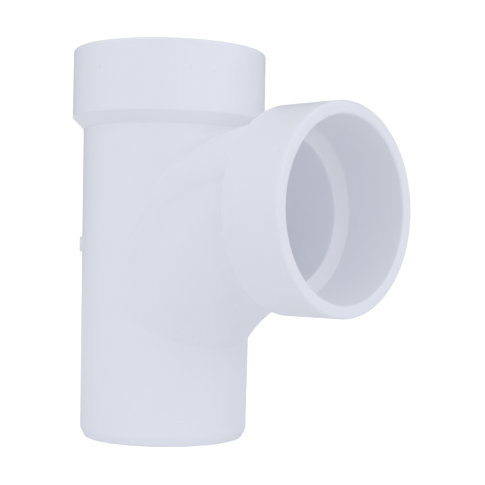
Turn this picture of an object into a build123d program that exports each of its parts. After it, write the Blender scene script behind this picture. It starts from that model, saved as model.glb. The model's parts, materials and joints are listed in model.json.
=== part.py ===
"""Street sanitary tee for 3 in drain, waste and vent pipe.

A vertical run with a pipe socket on top and a plain spigot below, and a horizontal branch socket whose
waterway sweeps down into the run. The real fitting is one injection moulding. It is held here as the
regions a maker names, cut square across the walls, so that each is a simple hollow solid.

Frame: z = 0 is the spigot's end face, +Z runs up the run's axis, +X points along the branch.
"""

from build123d import *

import os
from math import asin, degrees

os.makedirs("parts", exist_ok=True)

# Pipe and socket sizes (3 in pipe, 3.500 in outside)
spigot_radius = 44.45
socket_clearance = 0.15  # between a pipe or spigot and the socket's wall
socket_depth = 38.1  # from the mouth to the stop's foot
stop_length = 4.2  # the stop is a cone from the socket's wall down to its foot, in line with the shoulder
spigot_wall = 6.85
hub_wall = 6.6
throat_wall = 5.5
body_draft = 0.85  # how much wider the barrel is under the top hub than at the spigot

# Lengths along the two axes
branch_height = 118.8  # spigot end to branch axis
top_reach = 85.0  # branch axis to top socket mouth
branch_reach = 122.1  # run axis to branch socket mouth
spigot_spare = 3.9  # straight length that stays outside a hub
top_skirt_length = 35.8  # parallel part of each hub, from its mouth back
branch_skirt_length = 34.0
shoulder_length = 5.9  # cone between a hub's skirt and the body

# Branch sweep: each bend starts at a distance from the branch's mouth, and is as large as brings it
# upright this far past the run's axis
throat_bend_setback = 21.2
throat_overrun = 15.2
passage_bend_setback = 30.1
passage_overrun = 4.0
hood_edge_height = 14.4  # the hood's lower edges, above its tube's centre
bend_end_cover = 1.2  # how far each bend runs on inside the wall or bore that it ends in
hood_end_x = 5.0

# Edges and small features
spigot_chamfer_length = 3.1
spigot_chamfer_depth = 2.2
rim_round = 1.5  # both edges of a hub's rim
stop_overrun = 1.0  # how far the stop's cone runs on past its foot, inside the waterway
stop_round = 1.2
gate_drop = 17.7  # stub left by the moulding gate, below the branch axis
gate_azimuth = 228.0
gate_radius = 4.0
gate_proud = 1.5
gate_root = 3.0  # how far the stub starts inside the wall

# What follows from them
waterway_radius = spigot_radius - spigot_wall
socket_radius = spigot_radius + socket_clearance
hub_radius = socket_radius + hub_wall
body_radius = spigot_radius + body_draft
throat_tube_radius = waterway_radius + throat_wall
stop_overrun_radius = waterway_radius - (socket_radius - waterway_radius) * stop_overrun / stop_length
run_length = branch_height + top_reach
spigot_length = socket_depth + spigot_spare
barrel_top = run_length - top_skirt_length - shoulder_length
neck_end = branch_reach - branch_skirt_length - shoulder_length
throat_bend_x = branch_reach - throat_bend_setback
throat_bend_radius = throat_bend_x + throat_overrun
passage_bend_x = branch_reach - passage_bend_setback
passage_bend_radius = passage_bend_x + passage_overrun
hood_bend_radius = branch_reach - branch_skirt_length  # from the skirt's back onto the run's axis

run_mouth = Plane.XY.offset(run_length)
branch_mouth = Plane(origin=(branch_reach, 0, branch_height), x_dir=(0, 1, 0), z_dir=(1, 0, 0))


def bend_axis(bend_x, bend_radius):
    """The axis a level tube turns down about, where its bend starts at bend_x."""
    return Axis((bend_x, 0, branch_height - bend_radius), (0, -1, 0))


def bend_angle(bend_x, line_radius, end_x):
    """How far a bend turns before its line at line_radius from the bend's axis reaches end_x."""
    return degrees(asin((bend_x - end_x) / line_radius))


def barrel_radius_at(height):
    """The barrel's outside radius: it drafts out from the spigot to the top hub."""
    share = (height - spigot_length) / (barrel_top - spigot_length)
    return spigot_radius + share * body_draft


def hub(mouth, skirt_length):
    """A pipe hub before its waterway: skirt and shoulder outside, socket and stop inside.

    mouth is the plane of the socket's mouth, looking out of it.
    """
    outward = Axis(mouth.origin, mouth.z_dir)
    with BuildPart() as shell:
        with BuildSketch(mouth.offset(-skirt_length)):
            Circle(hub_radius)
        extrude(amount=skirt_length)
        with BuildSketch(mouth.offset(-skirt_length - shoulder_length)):
            Circle(body_radius)
        with BuildSketch(mouth.offset(-skirt_length)):
            Circle(hub_radius)
        loft()
        with BuildSketch(mouth.offset(stop_length - socket_depth)):
            Circle(socket_radius)
        extrude(amount=socket_depth - stop_length, mode=Mode.SUBTRACT)
        fillet(shell.faces().sort_by(outward)[-1].edges(), rim_round)
        with BuildSketch(mouth.offset(-socket_depth - stop_overrun)):
            Circle(stop_overrun_radius)
        with BuildSketch(mouth.offset(stop_length - socket_depth)):
            Circle(socket_radius)
        loft(mode=Mode.SUBTRACT)
    return shell.part


# The run from outside, solid, without its edge details: what the sweep's walls stop against
with BuildPart() as run_outside:
    with BuildSketch(Plane.XZ) as run_half:
        with BuildLine():
            Polyline(
                (0, 0),
                (spigot_radius, 0),
                (spigot_radius, spigot_length),
                (body_radius, barrel_top),
                (hub_radius, barrel_top + shoulder_length),
                (hub_radius, run_length),
                (0, run_length),
                close=True,
            )
        make_face()
    revolve(axis=Axis.Z)

# The run's straight bore
with BuildPart() as bore:
    with BuildSketch():
        Circle(waterway_radius)
    extrude(amount=run_length)

# The curved passage from the branch socket down into the run's bore
with BuildPart() as passage:
    with BuildSketch(Plane.YZ.offset(passage_bend_x)):
        with Locations((0, branch_height)):
            Circle(waterway_radius)
    revolve(
        axis=bend_axis(passage_bend_x, passage_bend_radius),
        revolution_arc=bend_angle(
            passage_bend_x, passage_bend_radius - waterway_radius, waterway_radius - bend_end_cover
        ),
    )

# Top hub
with BuildPart() as top_hub:
    add(hub(run_mouth, top_skirt_length))
    add(bore.part, mode=Mode.SUBTRACT)
    foot = run_length - socket_depth
    fillet(top_hub.edges().filter_by_position(Axis.Z, foot - stop_overrun, foot + stop_overrun), stop_round)

# Branch hub
with BuildPart() as branch_hub:
    add(hub(branch_mouth, branch_skirt_length))
    add(passage.part, mode=Mode.SUBTRACT)
    foot = branch_reach - socket_depth
    fillet(branch_hub.edges().filter_by_position(Axis.X, foot - stop_overrun, foot + stop_overrun), stop_round)

# Spigot
with BuildPart() as spigot:
    add(run_outside.part)
    split(bisect_by=Plane.XY.offset(spigot_length), keep=Keep.BOTTOM)
    end = spigot.faces().sort_by(Axis.Z)[0]
    chamfer(end.edges(), length=spigot_chamfer_depth, length2=spigot_chamfer_length, reference=end)
    add(bore.part, mode=Mode.SUBTRACT)
    add(passage.part, mode=Mode.SUBTRACT)

# Run barrel, with the branch's window and the gate stub
gate_height = branch_height - gate_drop
gate_direction = Vector(1, 0, 0).rotate(Axis.Z, gate_azimuth)
gate_start = gate_direction * (barrel_radius_at(gate_height) - gate_root) + Vector(0, 0, gate_height)
with BuildPart() as run_barrel:
    add(run_outside.part)
    split(bisect_by=Plane.XY.offset(spigot_length), keep=Keep.TOP)
    split(bisect_by=Plane.XY.offset(barrel_top), keep=Keep.BOTTOM)
    with BuildSketch(Plane(origin=gate_start, z_dir=gate_direction)):
        Circle(gate_radius)
    extrude(amount=gate_root + gate_proud)
    add(bore.part, mode=Mode.SUBTRACT)
    add(passage.part, mode=Mode.SUBTRACT)

# Branch sweep: the throat's tube and the raised hood over its heel, from the barrel to the branch hub
with BuildPart() as branch_sweep:
    with BuildSketch(Plane.YZ.offset(throat_bend_x)):
        with Locations((0, branch_height)):
            Circle(throat_tube_radius)
    revolve(
        axis=bend_axis(throat_bend_x, throat_bend_radius),
        revolution_arc=bend_angle(
            throat_bend_x, throat_bend_radius - throat_tube_radius, waterway_radius + bend_end_cover
        ),
    )
    with BuildSketch(Plane.YZ.offset(hood_bend_radius)):
        with Locations((0, branch_height)):
            Circle(body_radius)
        with Locations((0, branch_height + hood_edge_height)):
            Rectangle(2 * body_radius, 2 * body_radius, align=(Align.CENTER, Align.MAX), mode=Mode.SUBTRACT)
    revolve(
        axis=bend_axis(hood_bend_radius, hood_bend_radius),
        revolution_arc=bend_angle(hood_bend_radius, hood_bend_radius + hood_edge_height, hood_end_x),
    )
    split(bisect_by=Plane.YZ.offset(neck_end), keep=Keep.BOTTOM)
    add(run_outside.part, mode=Mode.SUBTRACT)
    add(passage.part, mode=Mode.SUBTRACT)

pieces = {
    "top_hub": top_hub,
    "branch_hub": branch_hub,
    "run_barrel": run_barrel,
    "branch_sweep": branch_sweep,
    "spigot": spigot,
}
for name, piece in pieces.items():
    piece.part.label = name
    export_step(piece.part, f"parts/{name}.step")
    print(f"{name}: {len(piece.solids())} solid, {piece.part.volume / 1000:.1f} cm3")
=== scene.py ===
import json
import math

import bmesh
import bpy
import numpy as np
from mathutils import Matrix, Vector


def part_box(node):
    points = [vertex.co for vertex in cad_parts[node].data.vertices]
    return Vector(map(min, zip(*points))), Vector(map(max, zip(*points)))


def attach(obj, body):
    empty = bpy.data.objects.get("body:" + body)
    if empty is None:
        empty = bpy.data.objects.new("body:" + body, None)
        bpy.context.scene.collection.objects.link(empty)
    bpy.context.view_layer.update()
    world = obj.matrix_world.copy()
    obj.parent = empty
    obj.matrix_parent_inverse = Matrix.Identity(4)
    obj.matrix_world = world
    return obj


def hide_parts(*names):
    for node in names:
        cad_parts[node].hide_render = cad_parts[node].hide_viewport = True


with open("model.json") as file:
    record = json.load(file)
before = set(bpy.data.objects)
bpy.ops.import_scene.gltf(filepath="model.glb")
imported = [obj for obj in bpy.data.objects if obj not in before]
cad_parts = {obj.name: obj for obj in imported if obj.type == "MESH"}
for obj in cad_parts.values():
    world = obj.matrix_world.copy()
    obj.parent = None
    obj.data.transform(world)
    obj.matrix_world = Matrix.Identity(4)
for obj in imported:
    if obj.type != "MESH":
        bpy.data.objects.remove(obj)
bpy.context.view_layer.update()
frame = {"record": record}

# ------------------------------------------------------------------ sizes, in metres, from the frame

MM = 0.001
mounts = {mount["name"]: mount for mount in frame["record"]["mounts"]}


def mount_radius(name):
    return mounts[name]["dims"]["r_mm"] * MM


socket_radius = mount_radius("top_socket")
waterway_radius = mount_radius("run_waterway")
spigot_radius = mount_radius("spigot")
branch_z = mounts["branch_socket"]["pos_m"][2]
top_stop_z = mounts["top_socket"]["pos_m"][2]
branch_stop_x = mounts["branch_socket"]["pos_m"][0]
barrel_bottom_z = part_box("run_barrel")[0].z
barrel_top_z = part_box("run_barrel")[1].z
body_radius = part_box("run_barrel")[1].y
run_top_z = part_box("top_hub")[1].z
hub_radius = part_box("top_hub")[1].y
neck_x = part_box("branch_hub")[0].x
branch_mouth_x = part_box("branch_hub")[1].x
throat_tube_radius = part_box("branch_sweep")[1].y

# The same sweep as the part's own source: where each bend starts and how large it is
shoulder_length = 5.9 * MM
throat_bend_x = branch_mouth_x - 21.2 * MM
throat_bend_radius = throat_bend_x + 15.2 * MM
hood_bend_x = neck_x + shoulder_length
hood_bend_radius = hood_bend_x
passage_bend_x = branch_mouth_x - 30.1 * MM
passage_bend_radius = passage_bend_x + 4.0 * MM
passage_turn = math.asin(passage_bend_x / passage_bend_radius)

# The stub that the moulding gate left on the back of the barrel
gate_z = branch_z - 17.7 * MM
gate_azimuth = math.radians(228)
gate_radius = 4.0 * MM
gate_proud = 1.4 * MM
gate_root = 3.0 * MM
gate_roughness = 0.12 * MM

# The raised hood over the heel. Its edge is a soft step down to the throat's tube, at an angle round the
# sweep's centre line that is measured from the heel and widens along the bend
hood_sink = 3.2 * MM  # how far the hood's centre line comes in over a quarter turn of its bend
hood_edge = math.radians(70)  # at the neck
hood_edge_spread = math.radians(5)  # how much wider it is after hood_edge_turn along the bend
hood_edge_turn = math.radians(50)
hood_step = math.radians(9)

# Creases and corners that the moulding rounds
heel_fillet = 4.0 * MM
throat_fillet = 1.2 * MM
passage_edge = 1.6 * MM
rim_round = 1.5 * MM
shoulder_round = 0.8 * MM
stop_length = 4.2 * MM
stop_round = 1.2 * MM
stop_back_round = 0.5 * MM

# The spigot's end: a slight taper, then a soft corner
spigot_taper = 0.45 * MM
spigot_corner_height = 4.4 * MM
spigot_corner_depth = 2.7 * MM
spigot_corner_round = 6.0 * MM
spigot_edge_round = 0.8 * MM
bore_edge_round = 0.4 * MM

# ------------------------------------------------------------------ surfaces as distances


def smooth_step(x):
    x = np.clip(x, 0, 1)
    return x * x * (3 - 2 * x)


def tube(p, bend_x, bend_radius, radius):
    """Distance from a tube that turns down from the branch's axis, and height over its centre line.

    Points are arrays whose last axis is x, y, z, and a distance is negative inside.
    """
    over = np.hypot(p[..., 0] - bend_x, p[..., 2] - branch_z + bend_radius) - bend_radius
    return np.hypot(over, p[..., 1]) - radius, over


def barrel_radius(z):
    share = np.clip((z - barrel_bottom_z) / (barrel_top_z - barrel_bottom_z), 0, 1)
    return spigot_radius + share * (body_radius - spigot_radius)


def barrel_outside(p):
    return np.hypot(p[..., 0], p[..., 1]) - barrel_radius(p[..., 2])


def bend_turn(p, bend_x, bend_radius):
    """How far round a bend a point is, from where the bend starts."""
    return np.arctan2(bend_x - p[..., 0], p[..., 2] - branch_z + bend_radius)


def hood_section(p):
    """A point's turn along the hood's bend, and its height over the hood's centre line."""
    turn = bend_turn(p, hood_bend_x, hood_bend_radius)
    over = tube(p, hood_bend_x, hood_bend_radius, body_radius)[1]
    return turn, over + hood_sink * np.clip(turn / (math.pi / 2), 0, 1)


def hood_share(p):
    """1 on the raised hood over the heel, 0 on the plain throat tube, with a soft step between."""
    turn, over = hood_section(p)
    lean = np.arctan2(np.abs(p[..., 1]), over)
    edge = hood_edge + hood_edge_spread * np.clip(turn / hood_edge_turn, 0, 1.2) ** 2
    return smooth_step(0.5 + (edge - lean) / hood_step)


def sweep_outside(p):
    throat = tube(p, throat_bend_x, throat_bend_radius, throat_tube_radius)[0]
    hood = np.hypot(hood_section(p)[1], p[..., 1]) - body_radius
    return throat + hood_share(p) * (hood - throat)


def bore_wall(p):
    return np.hypot(p[..., 0], p[..., 1]) - waterway_radius


def passage_wall(p):
    """The passage's tube, which ends where its centre line reaches the run's axis."""
    ahead = passage_bend_x - p[..., 0]
    above = p[..., 2] - branch_z + passage_bend_radius
    past_end = ahead * math.cos(passage_turn) - above * math.sin(passage_turn)
    return np.maximum(tube(p, passage_bend_x, passage_bend_radius, waterway_radius)[0], past_end)


def slope(distance, p, step=0.02 * MM):
    """Gradient of a distance by central differences."""
    columns = []
    for axis in np.eye(3) * step:
        columns.append((distance(p + axis) - distance(p - axis)) / (2 * step))
    return np.stack(columns, -1)


def joined(first, second, round_at):
    """Union of two distances with a rounded crease that fades out where the two surfaces run together."""

    def distance(p):
        a, b = first(p), second(p)
        facing = np.sum(slope(first, p) * slope(second, p), -1)
        blend = 1.2 * round_at(p) * np.clip(1 - facing, 0.2, 1)
        near = np.clip(1 - np.abs(a - b) / blend, 0, 1)
        return np.minimum(a, b) - near * near * blend / 4

    return distance


def outside_round(p):
    return throat_fillet + hood_share(p) * (heel_fillet - throat_fillet)


def inside_round(p):
    return np.full(p.shape[:-1], passage_edge)


outside_skin = joined(barrel_outside, sweep_outside, outside_round)
inside_skin = joined(bore_wall, passage_wall, inside_round)

# ------------------------------------------------------------------ node trees


class Link:
    """An output socket of a node tree. Arithmetic on it adds Math nodes."""

    def __init__(self, tree, socket):
        self.tree = tree
        self.socket = socket

    def maths(self, operation, first, second=0.0):
        return self.tree.add("ShaderNodeMath", {"operation": operation}, {0: first, 1: second})

    def __add__(self, other):
        return self.maths("ADD", self, other)

    def __radd__(self, other):
        return self.maths("ADD", other, self)

    def __sub__(self, other):
        return self.maths("SUBTRACT", self, other)

    def __rsub__(self, other):
        return self.maths("SUBTRACT", other, self)

    def __mul__(self, other):
        return self.maths("MULTIPLY", self, other)

    def __rmul__(self, other):
        return self.maths("MULTIPLY", other, self)


class Tree:
    """A node tree being written."""

    def __init__(self, tree):
        self.tree = tree

    def fill(self, node, sockets):
        """Gives a node's sockets their values or links."""
        for name, value in sockets.items():
            if isinstance(value, Link):
                self.tree.links.new(value.socket, node.inputs[name])
            else:
                node.inputs[name].default_value = value

    def add(self, kind, settings=None, sockets=None, out=0):
        """Adds a node: its settings first, then its sockets. Gives one of its outputs, if it has any."""
        node = self.tree.nodes.new(kind)
        for name, value in (settings or {}).items():
            setattr(node, name, value)
        self.fill(node, sockets or {})
        if len(node.outputs) == 0:
            return None
        return Link(self, node.outputs[out])

    def step(self, value, low, high, at_low=0.0, at_high=1.0):
        """A soft step from at_low to at_high as value goes from low to high."""
        return self.add(
            "ShaderNodeMapRange",
            {"interpolation_type": "SMOOTHSTEP"},
            {"Value": value, "From Min": low, "From Max": high, "To Min": at_low, "To Max": at_high},
        )

    def band(self, value, low, full, fade, high):
        """1 from full to fade, and 0 below low and above high, with soft steps between."""
        return self.step(value, low, full) * self.step(value, fade, high, 1.0, 0.0)

    def noise(self, place, size, detail=2.0):
        """Noise from 0 to 1 with features of about this size in metres."""
        return self.add("ShaderNodeTexNoise", None, {"Vector": place, "Scale": 1 / size, "Detail": detail})

    def vector_value(self, operation, first, second):
        """The number that a Vector Math operation gives for two vectors."""
        return self.add("ShaderNodeVectorMath", {"operation": operation}, {0: first, 1: second}, "Value")


# ------------------------------------------------------------------ materials


def moulded_pvc():
    """Cool white rigid PVC as it leaves a polished mould: faint orange peel, flow rings round the gate, and
    the dull marks and hairline scuffs of handling."""
    material = bpy.data.materials.new("white_pvc")
    material.use_nodes = True
    tree = Tree(material.node_tree)
    shader = material.node_tree.nodes["Principled BSDF"]
    place = tree.add("ShaderNodeTexCoord", out="Object")

    # Colour: a slight cloudiness, a few faint dull patches, and rare dark specks in the melt
    plain_white = (0.95, 0.955, 0.968, 1)
    cloudy_white = (0.96, 0.965, 0.978, 1)
    grey_brown = (0.62, 0.60, 0.57, 1)
    cloud = tree.noise(place, 45 * MM)
    handled = tree.step(tree.noise(place, 22 * MM, 4.0), 0.56, 0.72)
    speck_spacing = 38 * MM
    from_speck = tree.add(
        "ShaderNodeTexVoronoi", None, {"Vector": place, "Scale": 1 / speck_spacing}, "Distance"
    )
    speck = tree.step(from_speck, 0.008, 0.016, 1.0, 0.0)
    grime = speck * 0.35 + handled * 0.05
    tone = tree.add(
        "ShaderNodeMix",
        {"data_type": "RGBA"},
        {"Factor": cloud, "A": plain_white, "B": cloudy_white},
        "Result",
    )
    colour = tree.add(
        "ShaderNodeMix",
        {"data_type": "RGBA"},
        {"Factor": grime, "A": tone, "B": grey_brown},
        "Result",
    )

    # Hairline scuffs, mostly round the run, where a noise that is stretched level is high
    stretched = tree.add("ShaderNodeMapping", None, {"Vector": place, "Scale": (18, 18, 420)})
    hair = tree.add("ShaderNodeTexNoise", None, {"Vector": stretched, "Scale": 1.0, "Detail": 3.0})
    scuff = tree.step(hair, 0.665, 0.70) * tree.step(tree.noise(place, 30 * MM), 0.5, 0.62)

    # Relief: orange peel, the mould's slow waviness, and rings of flow that die away from the gate
    gate = (body_radius * math.cos(gate_azimuth), body_radius * math.sin(gate_azimuth), gate_z)
    from_gate = tree.vector_value("DISTANCE", place, gate)
    ring_spacing = 5 * MM
    ring = from_gate.maths("SINE", from_gate * (2 * math.pi / ring_spacing))
    flow = ring * tree.step(from_gate, 5 * MM, 32 * MM, 1.0, 0.0)
    peel = tree.noise(place, 1.3 * MM)
    wave = tree.noise(place, 14 * MM, 1.0)
    relief = peel * (0.006 * MM) + wave * (0.10 * MM) + flow * (0.006 * MM) - scuff * (0.02 * MM)
    bump = tree.add("ShaderNodeBump", None, {"Strength": 1.0, "Distance": 1.0, "Height": relief}, "Normal")

    rough = 0.25 + tree.noise(place, 6 * MM) * 0.10 + handled * 0.10 + scuff * 0.2
    tree.fill(shader, {"Base Color": colour, "Roughness": rough, "Normal": bump, "IOR": 1.53})
    return material


white_pvc = moulded_pvc()

# ------------------------------------------------------------------ the tee's body as one woven skin

around = 112  # columns round the run
along = 56  # columns up each side of the back seam
rows_on_run = 64
rows_on_sweep = 44
crowding = 1.5  # how rows draw together towards the crease
halvings = 40
outer_window_z = branch_z - 16 * MM  # a height well inside the branch's window in the barrel
inner_window_z = branch_z - 20 * MM  # and in the bore


def unwrapped(angle, z, radius):
    return np.stack([radius * np.cos(angle), radius * np.sin(angle), z], -1)


def outline():
    """The barrel's unwrapped sheet as a loop of (angle, height): bottom, right side, top, left side."""
    turn = np.linspace(-math.pi, math.pi, around + 1)
    rise = np.linspace(barrel_bottom_z, barrel_top_z, along + 1)
    bottom = [(a, rise[0]) for a in turn[:-1]]
    right = [(math.pi, z) for z in rise[:-1]]
    top = [(a, rise[-1]) for a in turn[:0:-1]]
    left = [(-math.pi, z) for z in rise[:0:-1]]
    return np.array(bottom + right + top + left)


def crease(run_radius, sweep, loop, centre_z):
    """Where straight lines on the unwrapped sheet, from inside the branch's window to the loop, leave it."""
    near = np.zeros(len(loop))
    far = np.ones(len(loop))
    for _ in range(halvings):
        middle = (near + far) / 2
        angle = loop[:, 0] * middle
        z = centre_z + (loop[:, 1] - centre_z) * middle
        inside = sweep(unwrapped(angle, z, run_radius(z))) < 0
        near = np.where(inside, middle, near)
        far = np.where(inside, far, middle)
    return (near + far) / 2


def on_tube(turn, lean, bend_x, bend_radius, sweep):
    """The point of the sweep's surface at a turn along its bend and a lean round its centre line."""
    near = np.full(turn.shape, 20 * MM)
    far = np.full(turn.shape, 70 * MM)
    for _ in range(halvings):
        radius = (near + far) / 2
        reach = bend_radius + radius * np.cos(lean)
        x = bend_x - reach * np.sin(turn)
        z = branch_z - bend_radius + reach * np.cos(turn)
        p = np.stack([x, radius * np.sin(lean), z], -1)
        inside = sweep(p) < 0
        near = np.where(inside, radius, near)
        far = np.where(inside, far, radius)
    return p


def settle(p, skin, rounds=6):
    """Moves points onto a skin along its slope."""
    for _ in range(rounds):
        normal = slope(skin, p)
        p = p - normal * (skin(p) / np.sum(normal * normal, -1))[..., None]
    return p


def woven_skin(run_radius, sweep, skin, bend_x, bend_radius, centre_z):
    """Rings of points from the neck, down the sweep, through the crease and over the barrel to its edges."""
    # Where each column crosses the crease
    loop = outline()
    start = crease(run_radius, sweep, loop, centre_z)
    centre = np.array([0.0, centre_z])
    first = centre + (loop - centre) * start[:, None]
    edge = unwrapped(first[:, 0], first[:, 1], run_radius(first[:, 1]))
    over = tube(edge, bend_x, bend_radius, 0)[1]
    lean = np.arctan2(edge[:, 1], over)
    turn = bend_turn(edge, bend_x, bend_radius)

    # Where each column starts, in the neck's plane
    neck_turn = np.full(len(loop), 0.05)
    for _ in range(12):
        p = on_tube(neck_turn, lean, bend_x, bend_radius, sweep)
        neck_turn = np.arcsin(np.sin(neck_turn) * (bend_x - neck_x) / (bend_x - p[:, 0]))

    rings = []
    for share in np.linspace(1, 0, rows_on_sweep + 1)[:-1] ** crowding:
        rings.append(on_tube(turn + (neck_turn - turn) * share, lean, bend_x, bend_radius, sweep))
    rings.append(edge)
    for share in np.linspace(0, 1, rows_on_run + 1)[1:] ** crowding:
        sheet = first + (loop - first) * share
        rings.append(unwrapped(sheet[:, 0], sheet[:, 1], run_radius(sheet[:, 1])))
    rings = np.array(rings)
    rings[1:-1] = settle(rings[1:-1], skin)
    return rings


def bore_radius(z):
    return np.full(np.shape(z), waterway_radius)


def skin_faces(n_rings, n_points, base, flip):
    """Faces between closed rings of points that are numbered from base."""
    faces = []
    for ring in range(n_rings - 1):
        for i in range(n_points):
            j = (i + 1) % n_points
            a = base + ring * n_points + i
            b = base + ring * n_points + j
            c = b + n_points
            d = a + n_points
            faces.append((a, d, c, b) if flip else (a, b, c, d))
    return faces


def placed(name, data):
    thing = bpy.data.objects.new(name, data)
    bpy.context.scene.collection.objects.link(thing)
    return thing


def finished(name, mesh):
    """A closed piece from a mesh: doubles merged, normals outwards, smooth with its real edges sharp."""
    sharp_above = math.radians(35)
    piece = placed(name, mesh)
    work = bmesh.new()
    work.from_mesh(mesh)
    bmesh.ops.remove_doubles(work, verts=work.verts, dist=1e-6)
    bmesh.ops.dissolve_degenerate(work, dist=1e-7, edges=work.edges)
    bmesh.ops.recalc_face_normals(work, faces=work.faces)
    work.to_mesh(mesh)
    work.free()
    mesh.shade_smooth()
    mesh.set_sharp_from_angle(angle=sharp_above)
    return piece


def pvc_piece(name, vertices, faces):
    mesh = bpy.data.meshes.new(name)
    mesh.from_pydata([tuple(vertex) for vertex in vertices], [], faces)
    mesh.materials.append(white_pvc)
    return finished(name, mesh)


def tee_body():
    """Barrel and sweep: an outer and an inner skin, joined at the neck, at the top and at the bottom."""
    outer = woven_skin(
        barrel_radius, sweep_outside, outside_skin, hood_bend_x, hood_bend_radius, outer_window_z
    )
    inner = woven_skin(
        bore_radius, passage_wall, inside_skin, passage_bend_x, passage_bend_radius, inner_window_z
    )
    n_rings, n_points = outer.shape[:2]
    vertices = np.concatenate([outer.reshape(-1, 3), inner.reshape(-1, 3)])
    inner_base = n_rings * n_points
    faces = skin_faces(n_rings, n_points, 0, False) + skin_faces(n_rings, n_points, inner_base, True)
    last = (n_rings - 1) * n_points
    back_seam = set(range(around, around + along)) | set(range(2 * around + along, n_points))
    for i in range(n_points):
        j = (i + 1) % n_points
        faces.append((j, i, inner_base + i, inner_base + j))
        if i not in back_seam:
            faces.append((last + i, last + j, inner_base + last + j, inner_base + last + i))
    return pvc_piece("tee_body", vertices, faces)


body = tee_body()

# ------------------------------------------------------------------ hubs and spigot, turned


def turning_tree():
    """Geometry Nodes that round a closed profile's corners and turn it round the Z axis.

    The profile lies in the XY plane: X is out from the turn's radius, Y is height.
    """
    group = bpy.data.node_groups.new("turning", "GeometryNodeTree")
    face = group.interface
    face.new_socket("Geometry", in_out="OUTPUT", socket_type="NodeSocketGeometry")
    face.new_socket("Profile", in_out="INPUT", socket_type="NodeSocketGeometry")
    face.new_socket("Turn Radius", in_out="INPUT", socket_type="NodeSocketFloat")
    face.new_socket("Steps Round", in_out="INPUT", socket_type="NodeSocketInt")
    face.new_socket("Corner Steps", in_out="INPUT", socket_type="NodeSocketInt")
    face.new_socket("Finish", in_out="INPUT", socket_type="NodeSocketMaterial")
    tree = Tree(group)

    def size(name):
        return tree.add("NodeGroupInput", out=name)

    profile = tree.add("GeometryNodeMeshToCurve", None, {"Mesh": size("Profile")})
    rounding = tree.add("GeometryNodeInputNamedAttribute", {"data_type": "FLOAT"}, {"Name": "rounding"})
    rounded = tree.add(
        "GeometryNodeFilletCurve",
        {"mode": "POLY"},
        {"Curve": profile, "Count": size("Corner Steps"), "Radius": rounding},
    )
    circle = tree.add(
        "GeometryNodeCurvePrimitiveCircle",
        {"mode": "RADIUS"},
        {"Resolution": size("Steps Round"), "Radius": size("Turn Radius")},
    )
    upright = tree.add("GeometryNodeSetCurveNormal", {"mode": "Z_UP"}, {"Curve": circle})
    ring = tree.add("GeometryNodeCurveToMesh", None, {"Curve": upright, "Profile Curve": rounded})
    real = tree.add("GeometryNodeRealizeInstances", None, {"Geometry": ring})
    done = tree.add("GeometryNodeSetMaterial", None, {"Geometry": real, "Material": size("Finish")})
    tree.add("NodeGroupOutput", None, {"Geometry": done})
    return group


turning = turning_tree()
steps_round = 144
corner_steps = 7


def held(corners):
    """Adds plain points just past each rounded corner, so that the straight stretches shade straight."""
    hold = 0.4 * MM
    points = []
    for i, (radius, height, rounding) in enumerate(corners):
        here = Vector((radius, height))
        if not rounding:
            points.append((*here, 0))
            continue
        back = (Vector(corners[i - 1][:2]) - here).normalized()
        on = (Vector(corners[(i + 1) % len(corners)][:2]) - here).normalized()
        reach = rounding / math.tan(back.angle(on) / 2) + hold
        points.append((*(here + back * reach), 0))
        points.append((*here, rounding))
        points.append((*(here + on * reach), 0))
    return points


def turned(name, corners, place):
    """A closed ring turned round the Z axis from corners of (radius, height, rounding), then put in place.

    The profile's Y ends up pointing down on the turned ring, so heights go in with their sign changed.
    """
    points = held(corners)
    profile = bpy.data.meshes.new(name + "_profile")
    loop = [(i, (i + 1) % len(points)) for i in range(len(points))]
    profile.from_pydata([(r - waterway_radius, -h, 0) for r, h, _ in points], loop, [])
    rounding = profile.attributes.new("rounding", "FLOAT", "POINT")
    rounding.data.foreach_set("value", [point[2] for point in points])
    lathe = placed(name + "_lathe", profile)
    modifier = lathe.modifiers.new("turning", "NODES")
    modifier.node_group = turning
    sizes = {
        "Turn Radius": waterway_radius,
        "Steps Round": steps_round,
        "Corner Steps": corner_steps,
        "Finish": white_pvc,
    }
    for item in turning.interface.items_tree:
        if item.name in sizes:
            modifier[item.identifier] = sizes[item.name]
    bpy.context.view_layer.update()
    ring = lathe.evaluated_get(bpy.context.evaluated_depsgraph_get())
    mesh = bpy.data.meshes.new_from_object(ring)
    bpy.data.objects.remove(lathe)
    mesh.transform(place)
    return finished(name, mesh)


def hub(name, length, stop, place):
    """A pipe hub. Heights are from its base, where it meets the body. Its socket's wall ends at stop."""
    corners = [
        (waterway_radius, 0, 0),
        (body_radius, 0, 0),
        (hub_radius, shoulder_length, shoulder_round),
        (hub_radius, length, rim_round),
        (socket_radius, length, rim_round),
        (socket_radius, stop, stop_back_round),
        (waterway_radius, stop - stop_length, stop_round),
    ]
    return turned(name, corners, place)


def sink_with_passage(piece):
    """Lowers a branch hub's waterway where the passage behind its stop has begun to turn down."""
    for vertex in piece.data.vertices:
        radius = math.hypot(vertex.co.y, vertex.co.z - branch_z)
        share = min(max((socket_radius - radius) / (socket_radius - waterway_radius), 0), 1)
        run_in = max(passage_bend_x - vertex.co.x, 0)
        vertex.co.z -= share * (passage_bend_radius - math.sqrt(passage_bend_radius**2 - run_in**2))


top_hub = hub(
    "top_hub_skin",
    run_top_z - barrel_top_z,
    top_stop_z - barrel_top_z,
    Matrix.Translation((0, 0, barrel_top_z)),
)
branch_hub = hub(
    "branch_hub_skin",
    branch_mouth_x - neck_x,
    branch_stop_x - neck_x,
    Matrix.Translation((neck_x, 0, branch_z)) @ Matrix.Rotation(math.pi / 2, 4, "Y"),
)
sink_with_passage(branch_hub)

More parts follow.
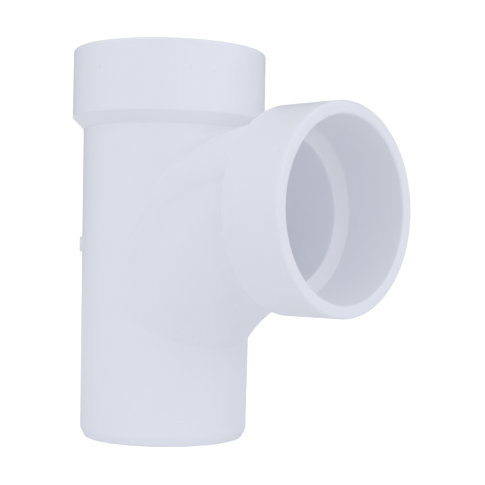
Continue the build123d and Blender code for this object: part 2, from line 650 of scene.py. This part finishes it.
spigot = turned(
    "spigot_skin",
    [
        (waterway_radius, 0, bore_edge_round),
        (spigot_radius - spigot_corner_depth, 0, spigot_edge_round),
        (spigot_radius - spigot_taper, spigot_corner_height, spigot_corner_round),
        (spigot_radius, barrel_bottom_z, 0),
        (waterway_radius, barrel_bottom_z, 0),
    ],
    Matrix.Identity(4),
)

# ------------------------------------------------------------------ gate stub


def gate_stub():
    """The short round stub where the moulding was broken off its gate, with a rough end."""
    torn = np.random.default_rng(7)
    columns = 32

    # Rings of (radius, height over the barrel), from the root inside the wall to the middle of the end
    smooth_rings = [
        (gate_radius, -gate_root),
        (gate_radius + 0.5 * MM, -0.3 * MM),
        (gate_radius, 0.3 * MM),
        (gate_radius - 0.1 * MM, gate_proud - 0.4 * MM),
    ]
    rough_rings = [(gate_radius - 0.5 * MM, gate_proud - 0.1 * MM)]
    for share in (0.72, 0.55, 0.38, 0.2):
        rough_rings.append((gate_radius * share, gate_proud - 0.25 * MM))
    rings = smooth_rings + rough_rings

    out = np.array([math.cos(gate_azimuth), math.sin(gate_azimuth), 0])
    across = np.array([-math.sin(gate_azimuth), math.cos(gate_azimuth), 0])
    up = np.array([0, 0, 1])
    centre = out * barrel_radius(gate_z) + up * gate_z
    vertices = []
    for level, (radius, height) in enumerate(rings):
        rough = 0 if level < len(smooth_rings) else gate_roughness
        for i in range(columns):
            angle = 2 * math.pi * i / columns
            lift = height + torn.uniform(-rough, rough)
            vertices.append(centre + out * lift + radius * (across * math.cos(angle) + up * math.sin(angle)))
    faces = skin_faces(len(rings), columns, 0, False)
    last = (len(rings) - 1) * columns
    faces.append(tuple(range(columns))[::-1])
    faces.append(tuple(range(last, last + columns)))
    return pvc_piece("gate_stub", vertices, faces)


stub = gate_stub()

# ------------------------------------------------------------------ what each piece is to the frame

for piece in (body, top_hub, branch_hub, spigot, stub):
    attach(piece, "root")
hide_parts("run_barrel", "branch_sweep")
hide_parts("top_hub")
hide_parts("branch_hub")
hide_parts("spigot")

# ------------------------------------------------------------------ camera, light and floor

camera_distance = 12.332 * hub_radius
camera_azimuth = math.radians(-43.8)
camera_drop = 0.424 * hub_radius  # below the branch's axis
camera_heading = math.radians(132.51)
camera_tilt = math.radians(0.58)
camera_roll = math.radians(1.09)
camera_lens = 87.22  # in mm, as is the sensor
camera_sensor = 36
cool_light = (0.96, 0.98, 1.07, 1)


def camera():
    """About 44 degrees round from the branch towards -Y, a little below the branch's axis."""
    data = bpy.data.cameras.new("camera")
    data.lens = camera_lens
    data.sensor_width = camera_sensor
    eye = Vector((math.cos(camera_azimuth), math.sin(camera_azimuth), 0)) * camera_distance
    eye.z = branch_z - camera_drop
    facing = (
        Matrix.Rotation(camera_heading - math.pi / 2, 4, "Z")
        @ Matrix.Rotation(math.pi / 2 + camera_tilt, 4, "X")
        @ Matrix.Rotation(camera_roll, 4, "Z")
    )
    seat = placed("camera", data)
    seat.matrix_world = Matrix.Translation(eye) @ facing
    bpy.context.scene.camera = seat


def tent():
    """Soft light from all round: brighter from the camera's side, from a wing on each side of it, from above
    and along the branch, with one dim upright strip, as the gap between two soft boxes leaves."""
    world = bpy.data.worlds.new("tent")
    bpy.context.scene.world = world
    world.use_nodes = True
    world.node_tree.nodes.clear()
    tree = Tree(world.node_tree)
    ray = tree.add("ShaderNodeTexCoord", out="Generated")
    towards = (-math.cos(camera_heading), -math.sin(camera_heading), 0)
    right = (math.sin(camera_heading), -math.cos(camera_heading), 0)
    front = tree.vector_value("DOT_PRODUCT", ray, towards)
    side = tree.vector_value("DOT_PRODUCT", ray, right)
    above = tree.vector_value("DOT_PRODUCT", ray, (0, 0, 1))
    branchward = tree.vector_value("DOT_PRODUCT", ray, (1, 0, 0))

    # Bearings are from straight behind the camera: the dim strip is to its left, a wing is on each side
    bearing = side.maths("ARCTAN2", side, front)
    aside = bearing.maths("ABSOLUTE", bearing)
    strip = tree.band(bearing, *np.radians((-20, -15, -1, 3)).tolist())
    wings = tree.band(aside, *np.radians((40, 60, 85, 105)).tolist())
    box = tree.step(branchward, 0.75, 0.95)
    level = 0.58 + 0.26 * front + 0.16 * above - 0.35 * strip + 0.22 * box + 0.25 * wings

    light = tree.add("ShaderNodeBackground", None, {"Color": cool_light, "Strength": level})
    backdrop = tree.add("ShaderNodeBackground", None, {"Color": (1, 1, 1, 1), "Strength": 1.05})
    seen = tree.add("ShaderNodeLightPath", out="Is Camera Ray")
    both = tree.add("ShaderNodeMixShader", None, {0: seen, 1: light, 2: backdrop})
    tree.add("ShaderNodeOutputWorld", None, {"Surface": both})


def floor():
    """A wide pale table that looks as bright as the backdrop."""
    half = 6.0
    corners = [(-half, -half, 0), (half, -half, 0), (half, half, 0), (-half, half, 0)]
    mesh = bpy.data.meshes.new("floor")
    mesh.from_pydata(corners, [], [(0, 1, 2, 3)])
    table = placed("floor", mesh)
    material = bpy.data.materials.new("pale_floor")
    material.use_nodes = True
    nodes = material.node_tree.nodes
    tree = Tree(material.node_tree)
    shader = nodes["Principled BSDF"]
    look = {"Base Color": (0.92, 0.92, 0.92, 1), "Roughness": 0.7}
    tree.fill(shader, {**look, "Emission Color": cool_light, "Emission Strength": 0.02})
    pale = Link(tree, shader.outputs[0])
    glow = tree.add("ShaderNodeEmission", None, {"Strength": 0.45})
    lit = tree.add("ShaderNodeAddShader", None, {0: pale, 1: glow})
    seen = tree.add("ShaderNodeLightPath", out="Is Camera Ray")
    both = tree.add("ShaderNodeMixShader", None, {0: seen, 1: pale, 2: lit})
    tree.fill(nodes["Material Output"], {"Surface": both})
    mesh.materials.append(material)


def bounces():
    """Light passes many times between the white walls inside the sockets."""
    scene = bpy.context.scene
    scene.view_settings.view_transform = "Standard"
    scene.cycles.max_bounces = 24
    scene.cycles.diffuse_bounces = 16


tent()
floor()
bounces()
camera()
